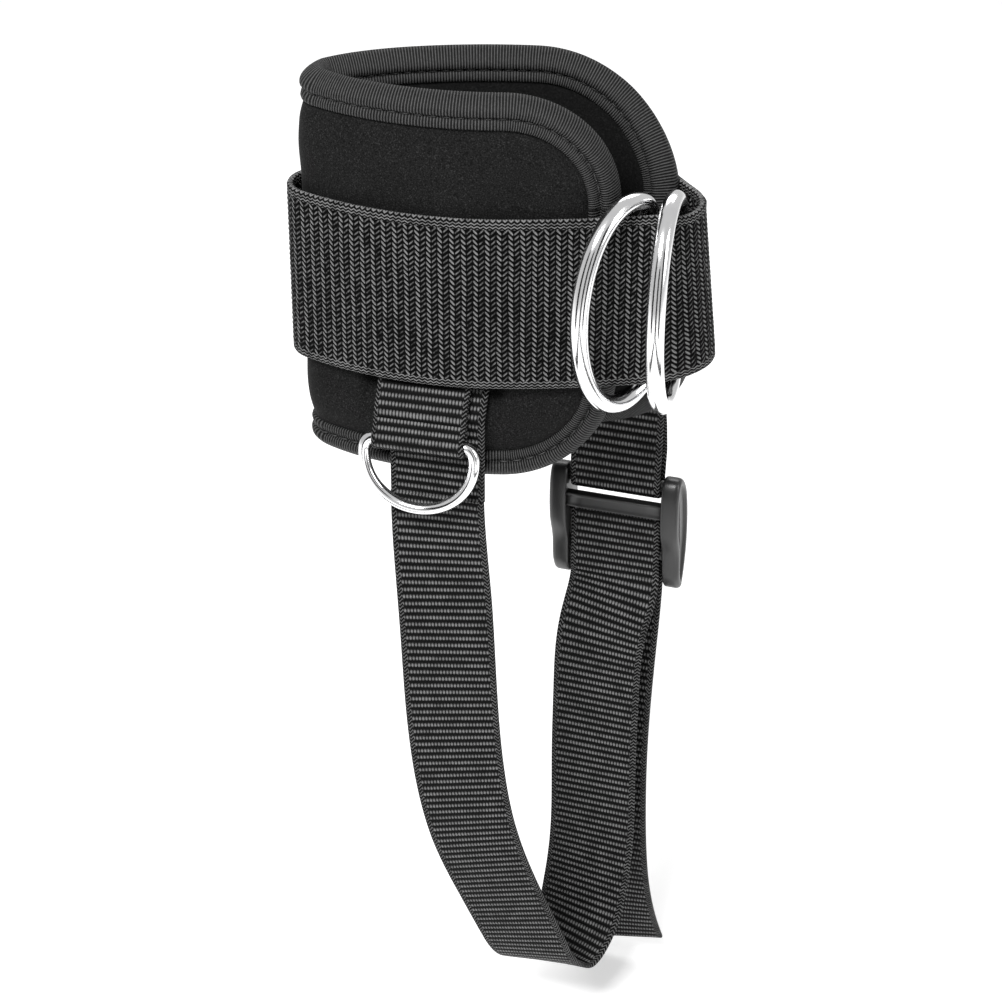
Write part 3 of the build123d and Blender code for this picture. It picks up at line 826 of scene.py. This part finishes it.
# ---- rings and keeper ----
RELIEF_STEP = 0.9         # points across the narrow webbing
RIB_HEIGHT = 0.08
WIRE_SIDES = 28
BARS = {"front": (40.8, -13.75), "end": (48.0, -11.0)}
RING_HEADING = {"front": 228.0, "end": 256.0}
KEEPER_HALF = 22.5
KEEPER_SKIN = 1.4
KEEPER_STEP = 0.4
TONGUE_TRAVEL = 26.0
TONGUE_BEND = (10.0, -94.0)


def ring_outline(half, depth, waist, corner):
    """Closed line of a D-ring: an ellipse cut off by its straight bar at x = 0, with rounded corners."""
    long = depth - waist
    reach = np.pi - np.arccos(waist / long)
    angle = np.linspace(-reach, reach, 181)
    bow = columns(waist + long * np.cos(angle), half * np.sin(angle))
    cut = int(round(corner * 181 / (2 * reach * half))) + 2
    start, end = bow[cut], bow[-1 - cut]
    high, low = bow[-1], bow[0]
    t = np.linspace(0, 1, 14)[:, None]
    top = (1 - t) ** 2 * end + 2 * t * (1 - t) * high + t ** 2 * (high + [0, -corner * 1.2])
    bottom = (1 - t) ** 2 * (low + [0, corner * 1.2]) + 2 * t * (1 - t) * low + t ** 2 * start
    line = np.concatenate([bow[cut:-cut], top, bottom, start[None]])
    return resample(line, 0.7)[:-1]


def make_ring(name, node, body, origin, x_dir, y_dir, shape, wire):
    flat = ring_outline(*shape)
    points = origin + flat[:, :1] * x_dir + flat[:, 1:] * y_dir
    piece = mesh_piece(name, *rod(points, wire, WIRE_SIDES, closed=True, up=np.cross(x_dir, y_dir)))
    finish_piece(piece, CHROME, body, [node])


def cross_relief(u, v):
    """Ribs across a webbing, flat on its selvedges."""
    return RIB_HEIGHT * np.cos(2 * np.pi * u / CROSS_RIB) * (np.abs(v) < NARROW / 2 - 1.2)


def make_large_rings():
    for name, (x, y) in BARS.items():
        heading = radians(RING_HEADING[name])
        x_dir = np.array([cos(heading), sin(heading), 0])
        shape = (RING_HALF, RING_DEPTH, RING_WAIST, RING_CORNER)
        make_ring(f"large_ring_{name}_chrome", f"large_ring_{name}", f"{name}_ring",
                  np.array([x, y, 0.0]), x_dir, UP, shape, WIRE)


def make_keeper():
    """Webbing round both bars, with a tongue sewn to the outside of the back panel."""
    offset = BINDING_HALF + GAP + KEEPER_SKIN / 2
    travel = np.linspace(pad_run.length - TONGUE_TRAVEL, pad_run.length, 80)
    x, y, heading = pad_run.place(travel, offset)
    tongue = Run((x[-1], y[-1]), degrees(float(heading[-1])), [TONGUE_BEND])
    bend = columns(*tongue.place(np.linspace(0, TONGUE_BEND[0], 30)[1:])[:2])
    front, end = (np.array(BARS[n]) for n in ("front", "end"))
    radius = WIRE + POCKET_PLAY + KEEPER_SKIN / 2
    along = unit(end - front)
    side = np.array([along[1], -along[0]])
    loop = [end + side * radius, front + side * radius]
    for a in np.radians(np.linspace(0, 180, 20)):
        loop.append(front + radius * (side * cos(a) - along * sin(a)))
    loop += [front - side * radius, end - side * radius]
    for a in np.radians(np.linspace(180, 290, 14)):
        loop.append(end + radius * (side * cos(a) - along * sin(a)))
    sewn = np.concatenate([columns(x, y), bend])
    for name, line in (("keeper_tongue", sewn), ("keeper_loop", np.array(loop))):
        line = resample(line, KEEPER_STEP)
        centres = columns(*line.T, 0)
        normals = np.cross(unit(np.gradient(centres, axis=0)), UP)
        piece = band(name, centres, UP, normals, 2 * KEEPER_HALF, KEEPER_SKIN, 0.0, cross_relief, RELIEF_STEP)
        finish_piece(piece, WEBBING, "cuff", ["ring_keeper"])


# ---- tab, small ring, buckle loop and foot strap ----
FACE_STEP = 0.3           # points along the narrow webbing
SEWN_TOP = -12.0
SUNK = -0.65 + NARROW_WEB / 2
OVER_PAD = BINDING_HALF + GAP + NARROW_WEB / 2
STEP_TOP = -26.9
STEP_LOW = -34.9
SMALL_BAR_Z = -41.5
TAB_WRAP = SMALL_WIRE + POCKET_PLAY + NARROW_WEB / 2
FOOT_SHIFT = 4.0
FOOT_TOP_END = -60.0
EASE = 0.4
RING_LEAN = 6.0
LOOP_TOP = -28.0
ANCHOR = (6.5, -77.0)
GRIP = (8.3, -88.2)
LIP = (8.3, -101.0)
BAR = 2.0
LIP_BAR = 1.8
FACE_BAR = (3.0, -83.3)
CHEEK_IN = NARROW / 2 + 0.7
CHEEK = 5.2
LOOP_WRAP = BAR + POCKET_PLAY + NARROW_WEB / 2
LEG_OUT = GRIP[0] - LOOP_WRAP
TAIL_OUT = GRIP[0] + LOOP_WRAP
BUCKLE_LOW = -107.0


class Facing:
    """An upright plane on the pad: origin, width direction and outward normal."""

    def __init__(self, travel, shift=0.0):
        x, y, heading = (float(v) for v in pad_run.place(travel))
        self.out = np.array([-sin(heading), cos(heading), 0])
        self.width = np.array([-self.out[1], self.out[0], 0])
        self.origin = np.array([x, y, 0]) + self.width * shift

    def at(self, out, up, side=0.0):
        return self.origin + self.out * out + self.width * side + UP * up


tab_face = Facing(TAB_TRAVEL)
foot_face = Facing(TAB_TRAVEL, FOOT_SHIFT)
buckle_face = Facing(back_travel(LOOP_X))


def face_band(name, facing, points, radii, width=NARROW, u_start=0.0):
    """Narrow webbing along (out, up) points on a facing plane, and its u at the end."""
    line = rounded_path(points, radii, FACE_STEP)
    centres = np.array([facing.at(out, up) for out, up in line])
    direction = unit(np.gradient(line, axis=0))
    normals = direction[:, 1:] * facing.out * -1 + direction[:, :1] * UP
    piece = band(name, centres, facing.width, normals, width, NARROW_WEB, u_start, cross_relief, RELIEF_STEP)
    return piece, u_start + lengths_along(centres)[-1]


def make_tab():
    rear_in, front_in = SUNK + LAYER, SUNK + 2 * LAYER
    rear_out, front_out = OVER_PAD + LAYER, OVER_PAD + 2 * LAYER
    far, turn_low = rear_out + 2 * TAB_WRAP, SMALL_BAR_Z - TAB_WRAP
    points = [(rear_in, SEWN_TOP), (rear_in, STEP_TOP + EASE), (rear_out, STEP_LOW + EASE),
              (rear_out, turn_low), (far, turn_low), (far, SMALL_BAR_Z + 1.0),
              (front_out, STEP_LOW - 0.6), (front_out, STEP_LOW + 2 * EASE + 0.2),
              (front_in, STEP_TOP + 2 * EASE + 0.2), (front_in, SEWN_TOP)]
    radii = [2.0, 2.0, TAB_WRAP - 0.01, TAB_WRAP - 0.01, 1.0, 1.0, 1.2, 2.0]
    piece = face_band("ring_tab_webbing", tab_face, points, radii, TAB_WIDTH)[0]
    finish_piece(piece, WEBBING, "cuff", ["ring_tab"])
    lean = radians(RING_LEAN)
    down = np.array([0, 0, -cos(lean)]) + tab_face.out * sin(lean)
    bar = tab_face.at(rear_out + TAB_WRAP, SMALL_BAR_Z)
    make_ring("small_ring_chrome", "small_ring", "hanging_ring", bar, down, tab_face.width,
              (SMALL_HALF, SMALL_DEPTH, SMALL_WAIST, SMALL_CORNER), SMALL_WIRE)


def make_buckle_loop():
    inner, outer = OVER_PAD, OVER_PAD + LAYER
    near, far = ANCHOR[0] - LOOP_WRAP, ANCHOR[0] + LOOP_WRAP
    low = ANCHOR[1] - LOOP_WRAP
    points = [(inner, LOOP_TOP), (inner, -58), (near, -70), (near, low), (far, low), (far, -75),
              (far + 1.6, -67), (far + 0.4, -58), (outer, -48), (outer, LOOP_TOP)]
    radii = [6.0, 3.0, LOOP_WRAP - 0.01, LOOP_WRAP - 0.01, 2.0, 4.0, 4.0, 4.0]
    piece = face_band("buckle_loop_webbing", buckle_face, points, radii)[0]
    finish_piece(piece, WEBBING, "cuff", ["buckle_loop"])


# Routes as stations: position, then the width's turn about Z and its rise, both in degrees.
FOOT_GAP = 1.2
LOOP_ROUTE = [((-16.6, -19.7, FOOT_TOP_END), -15.7, 0), ((-14.9, -19.9, -95), -6, 0),
              ((-13.3, -19.6, -130), -4, 0), ((-11.3, -18.6, -155), -6, 2),
              ((-7.0, -16.5, -180), -10, 6), ((0.6, -12.5, -205), -16, 12),
              ((8.2, -8.0, -227), -18, 13), ((13.2, -3.0, -239.0), -22, 10),
              ((18.7, 4.0, -243.2), -26, 7), ((23.7, 10.0, -238.0), -24, 5),
              ((27.0, 13.0, -226.0), -20, 2), ((29.2, 13.5, -205.0), -19, 0),
              ((29.4, 13.4, -175.0), -19, 0), ((29.7, 13.6, -150.0), -19, 0),
              ((31.6, 14.8, -125.0), -19, 0),
              (tuple(buckle_face.at(LEG_OUT, BUCKLE_LOW - FOOT_GAP)), -18, 0)]
TAIL_ROUTE = [(tuple(buckle_face.at(TAIL_OUT, BUCKLE_LOW - GAP)), -18, 0), ((35.0, 20.4, -135), -19, 0),
              ((33.4, 20.0, -170), -19, 0), ((33.6, 20.6, -200), -19, 0),
              ((35.6, 24.0, -230), -17, 2), ((41.0, 31.0, -258), -14, 4)]
LOOP_ENDS = ((0, 0, -1), (0, 0, 1))
TAIL_ENDS = ((0, 0, -1), (0.25, 0.3, -0.92))
LOOP_NODES = {"front_leg": (0, 3), "sole": (3, 11), "back_leg": (11, 13), "back_top": (13, 15)}
TAIL_NODES = {"tail_run": (0, 2), "tail_end": (2, 5)}


def smooth_line(points, ends, steps=60):
    """A curve with even bending through the points, with its end directions given: dense points and
    the index of each given point among them."""
    points = np.asarray(points, float)
    chord = np.linalg.norm(np.diff(points, axis=0), axis=1)
    count = len(points)
    matrix, right = np.zeros((count, count)), np.zeros((count, 3))
    matrix[0, 0] = matrix[-1, -1] = 1
    right[0], right[-1] = unit(np.array(ends[0], float)), unit(np.array(ends[1], float))
    for i in range(1, count - 1):
        a, b = chord[i - 1], chord[i]
        matrix[i, i - 1:i + 2] = [b, 2 * (a + b), a]
        right[i] = 3 * (b * (points[i] - points[i - 1]) / a + a * (points[i + 1] - points[i]) / b)
    slopes = np.linalg.solve(matrix, right)
    line = []
    for i in range(count - 1):
        t = np.linspace(0, 1, steps, endpoint=False)[:, None]
        h = chord[i]
        line.append((2 * t**3 - 3 * t**2 + 1) * points[i] + (t**3 - 2 * t**2 + t) * h * slopes[i]
                    + (3 * t**2 - 2 * t**3) * points[i + 1] + (t**3 - t**2) * h * slopes[i + 1])
    return np.concatenate(line + [points[-1:]]), np.arange(count) * steps


def route_frames(route, ends):
    """A route's dense line and its lengths, with the stations' lengths, turns and rises."""
    line, marks = smooth_line([s[0] for s in route], ends)
    lengths = lengths_along(line)
    turn, rise = np.radians([s[1:] for s in route]).T
    return line, lengths, lengths[marks], turn, rise


def route_band(name, route_data, first, last, u_start):
    line, lengths, stations, turn, rise = route_data
    count = int((stations[last] - stations[first]) / FACE_STEP) + 1
    at = np.linspace(stations[first], stations[last], count)
    centres = points_at(at, lengths, line)
    along = unit(points_at(at + 0.5, lengths, line) - points_at(at - 0.5, lengths, line))
    yaw, tilt = np.interp(at, stations, turn), np.interp(at, stations, rise)
    width = columns(np.cos(yaw) * np.cos(tilt), np.sin(yaw) * np.cos(tilt), np.sin(tilt))
    across = unit(width - along * np.sum(width * along, axis=1, keepdims=True))
    normals = np.cross(along, across)
    return band(name, centres, across, normals, NARROW, NARROW_WEB, u_start + stations[first],
                cross_relief, RELIEF_STEP)


def make_foot_strap():
    top, used = face_band("foot_strap_sewn_end", foot_face,
                          [(SUNK, SEWN_TOP), (SUNK, STEP_TOP), (OVER_PAD, STEP_LOW),
                           (OVER_PAD, FOOT_TOP_END)], [2.0, 2.0])
    finish_piece(top, WEBBING, "cuff", ["foot_strap_front_top"])
    loop = route_frames(LOOP_ROUTE, LOOP_ENDS)
    pieces = {}
    for name, (first, last) in LOOP_NODES.items():
        pieces[name] = route_band(f"foot_strap_{name}_webbing", loop, first, last, used)
    loop_end = used + loop[2][-1]
    turn_top = GRIP[1] + LOOP_WRAP
    turn, used = face_band("foot_strap_turn_webbing", buckle_face,
                           [(LEG_OUT, BUCKLE_LOW - FOOT_GAP), (LEG_OUT, turn_top), (TAIL_OUT, turn_top),
                            (TAIL_OUT, BUCKLE_LOW)], [LOOP_WRAP - 0.01] * 2, u_start=loop_end)
    finish_piece(turn, WEBBING, "buckle", ["foot_strap_buckle_turn"])
    tail = route_frames(TAIL_ROUTE, TAIL_ENDS)
    for name, (first, last) in TAIL_NODES.items():
        pieces[name] = route_band(f"foot_strap_{name}_webbing", tail, first, last, used)
    for name, piece in pieces.items():
        finish_piece(piece, WEBBING, nodes=[f"foot_strap_{name}"])
    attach(pieces["sole"], "sole")
    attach(pieces["tail_end"], "tail")
    for name, a, b in (("front_leg", "cuff", "sole"), ("back_leg", "cuff", "sole"),
                       ("back_top", "buckle", "cuff"), ("tail_run", "buckle", "tail")):
        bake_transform(pieces[name])


def closed_curve(points, steps=12):
    """A smooth closed line through the points."""
    points = np.asarray(points, float)
    line = []
    for k in range(len(points)):
        a, b, c, d = (points[(k + i) % len(points)] for i in (-1, 0, 1, 2))
        t = np.linspace(0, 1, steps, endpoint=False)[:, None]
        line.append(0.5 * (2 * b + (c - a) * t + (2 * a - 5 * b + 4 * c - d) * t**2
                           + (3 * b - a - 3 * c + d) * t**3))
    return np.concatenate(line)


def inset_curve(line, distance):
    along = unit(np.roll(line, -1, axis=0) - np.roll(line, 1, axis=0))
    inward = columns(-along[:, 1], along[:, 0])
    side = np.sign(np.sum(inward * (line.mean(axis=0) - line)))
    return line + side * inward * distance


CHEEK_PROFILE = [(1.4, -79), (1.6, -90), (4.6, -99), (5.8, -108), (10.0, -112.5), (14.4, -104),
                 (15.6, -93), (13.6, -81), (9.0, -74.5), (4.0, -73.5)]
# The cheek from its inner face outwards, as (inset of the outline, side): rounded rims and a moulded step.
CHEEK_ROWS = [(0.9, 0.0), (0.4, 0.15), (0.1, 0.45), (0.0, 0.9), (0.0, CHEEK - 1.4), (0.15, CHEEK - 0.8),
              (0.5, CHEEK - 0.3), (1.1, CHEEK), (2.0, CHEEK), (2.25, CHEEK - 0.1), (2.4, CHEEK - 0.6),
              (2.7, CHEEK - 0.75), (3.4, CHEEK - 0.7)]
FACE_BAR_OUTLINE = [(-1.4, -1.8), (-1.0, -2.3), (1.0, -2.3), (1.4, -1.8), (1.4, 0), (1.4, 1.8), (1.0, 2.3),
                    (-1.0, 2.3), (-1.4, 1.8), (-1.1, 0.9), (-1.1, -0.9)]


def side_loops(rows, sign, face):
    """Closed outlines (out, up) at given sides, as one tube."""
    verts = [face.at(out, up, sign * side) for outline, side in rows for out, up in outline]
    faces = tube_faces(len(rows), len(rows[0][0]))
    if sign < 0:
        faces = [f[::-1] for f in faces]
    return np.array(verts), faces, np.zeros((len(verts), 2))


def make_buckle():
    outline = closed_curve(CHEEK_PROFILE)
    parts = []
    for sign in (1, -1):
        rows = [(inset_curve(outline, d), CHEEK_IN + side) for d, side in CHEEK_ROWS]
        parts.append(side_loops(rows, sign, buckle_face))
    reach = CHEEK_IN + 1
    for (out, up), radius in ((ANCHOR, BAR), (GRIP, BAR), (LIP, LIP_BAR)):
        ends = [buckle_face.at(out, up, side) for side in np.linspace(-reach, reach, 12)]
        parts.append(rod(ends, radius, WIRE_SIDES))
    bar = np.array(FACE_BAR) + closed_curve(FACE_BAR_OUTLINE, 5)
    parts.append(side_loops([(bar, side) for side in np.linspace(-reach, reach, 6)], 1, buckle_face))
    piece = mesh_piece("ladder_buckle", *join_meshes(parts))
    finish_piece(piece, PLASTIC, "buckle", ["buckle"])


make_buckle()
make_wide_strap()
make_tapes()
make_large_rings()
make_keeper()
make_tab()
make_buckle_loop()
make_foot_strap()


# ---- the CAD's own stitches ----
for node in ("strap_stitches", "keeper_stitches", "tab_bartack", "buckle_loop_bartack"):
    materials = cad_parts[node].data.materials
    materials.clear()
    materials.append(THREAD)


# ---- floor, light and camera ----
FLOOR_GLOW = 0.4
WORLD_LIGHT = 0.22        # on the cloth
WORLD_SHINE = 0.6         # in the metal, while the camera sees plain white
# Dark cards that only the metal sees, as in a studio: name, place, tilt, turn about Z, size.
CARDS = [("card_left", (-0.42, -0.42, 0.05), 90, -45, (0.2, 0.7)),
         ("card_right", (0.36, -0.46, 0.05), 90, 38, (0.16, 0.7)),
         ("card_front", (0.02, -0.62, -0.05), 90, 2, (0.16, 0.7)),
         ("card_low", (-0.1, -0.36, -0.25), 0, 20, (0.07, 0.6)),
         ("card_side", (0.2, -0.3, -0.25), 0, -30, (0.07, 0.6))]
FLOOR_DROP = 0.004        # room under the lowest point


def make_stage():
    bpy.context.scene.view_settings.view_transform = "Standard"
    bpy.ops.mesh.primitive_plane_add(size=8, location=(0, 0, cad_box[0][2] - FLOOR_DROP))
    floor = bpy.context.object
    floor.name = "floor"
    pale = Nodes("pale_floor").finish((0.93, 0.93, 0.93), 0.9, Specular_IOR_Level=0.1,
                                      Emission_Color=(1, 1, 1, 1), Emission_Strength=FLOOR_GLOW)
    floor.data.materials.append(pale)
    n = Nodes("studio", bpy.data.worlds, "Background")
    bpy.context.scene.world = n.owner
    path = n.add("ShaderNodeLightPath")
    glossy, seen = (Value(n, path.outputs[ray]) for ray in ("Is Glossy Ray", "Is Camera Ray"))
    n.feed(n.shader.inputs[0], (1, 1, 1))
    n.feed(n.shader.inputs[1], n.math("MAXIMUM", n.math("MAXIMUM", seen, glossy * WORLD_SHINE), WORLD_LIGHT))
    dark = Nodes("dark_card").finish((0.0, 0.0, 0.0), 1.0, Specular_IOR_Level=0.0)
    for name, place, tilt, turn, size in CARDS:
        bpy.ops.mesh.primitive_plane_add(size=1, location=place, rotation=(radians(tilt), 0, radians(turn)))
        card = bpy.context.object
        card.name = name
        card.scale = (*size, 1)
        card.data.materials.append(dark)
        card.visible_camera = card.visible_shadow = card.visible_diffuse = False


def make_light(name, position, target, size, power):
    data = bpy.data.lights.new(name, "AREA")
    data.shape, data.size, data.size_y, data.energy = "RECTANGLE", size[0], size[1], power
    light = bpy.data.objects.new(name, data)
    light.location = position
    aim = Vector(target) - Vector(position)
    light.rotation_euler = aim.to_track_quat("-Z", "Y").to_euler()
    bpy.context.collection.objects.link(light)


def make_camera():
    data = bpy.data.cameras.new("camera")
    data.sensor_width, data.lens = 36.0, 101.2
    camera = bpy.data.objects.new("camera", data)
    camera.location = (0.001, -0.6882, 0.340)
    aim = Vector((0.001, -0.0025, -0.072)) - camera.location
    camera.rotation_euler = aim.to_track_quat("-Z", "Y").to_euler()
    bpy.context.collection.objects.link(camera)
    bpy.context.scene.camera = camera


make_stage()
make_light("key", (-0.30, -0.60, 0.75), (0, 0, -0.03), (0.45, 0.3), 14)
make_light("fill", (0.8, -0.4, 0.3), (0, 0, -0.05), (0.3, 0.6), 3)
make_light("back", (0.1, 0.7, 0.6), (0, 0, 0.0), (0.8, 0.4), 4)
make_camera()
